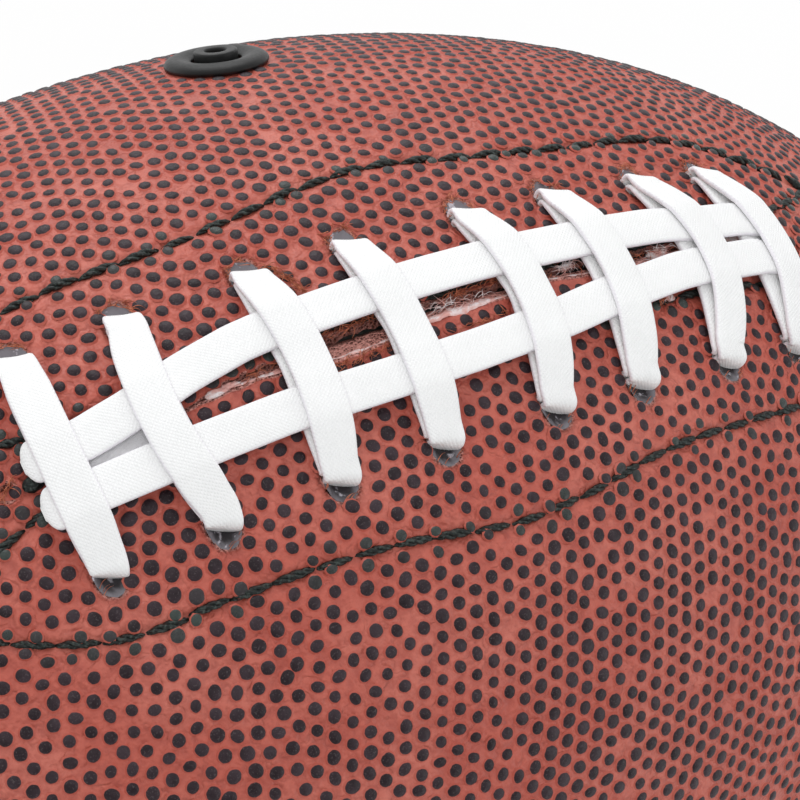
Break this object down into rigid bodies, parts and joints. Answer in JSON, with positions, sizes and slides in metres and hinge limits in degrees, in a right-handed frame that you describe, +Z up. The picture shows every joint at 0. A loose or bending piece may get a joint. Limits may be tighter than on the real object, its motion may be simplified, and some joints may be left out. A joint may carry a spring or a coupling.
{
  "type": "american football",
  "caption": "Laced american football: pebbled leather panels, cloth linings, valved bladder and a doubled white lace over the slit.",
  "frame": {"origin": "on the surface that the ball rests on, below the middle of its belly", "axes": "+X along the ball from tip to tip, +Z up through the middle of the lacing, +Y towards the valve's side"},
  "size_m": [0.281, 0.1714, 0.1748],
  "materials": {
    "panel_leather": "terracotta ground with raised near-black pebbles, matt",
    "lining_cloth": "plain woven cotton",
    "seam_thread": "waxed thread",
    "facing_leather": "unfinished split leather",
    "black_thread": "twisted waxed thread, slightly glossy",
    "tongue_leather": "smooth leather",
    "lace_vinyl": "white vinyl strap with a faint embossed weave",
    "bladder_rubber": "smooth black rubber",
    "valve_rubber": "moulded black rubber, satin",
    "plug_rubber": "soft grey rubber"
  },
  "bodies": {
    "root": {"panel_lace_near": "panel_leather", "panel_lace_valve": "panel_leather", "panel_back_near": "panel_leather", "panel_back_far": "panel_leather", "lining_lace_near": "lining_cloth", "lining_lace_valve": "lining_cloth", "lining_back_near": "lining_cloth", "lining_back_far": "lining_cloth", "seam_thread_lace": "seam_thread", "seam_thread_near": "seam_thread", "seam_thread_back": "seam_thread", "seam_thread_far": "seam_thread", "facing_near": "facing_leather", "facing_far": "facing_leather", "facing_stitch_near": "black_thread", "facing_stitch_far": "black_thread", "tongue": "tongue_leather", "lace": "lace_vinyl", "bladder": "bladder_rubber", "valve_patch": "bladder_rubber", "valve_stem": "valve_rubber", "valve_plug": "plug_rubber", "valve_collar": "valve_rubber"}
  },
  "joints": []
}
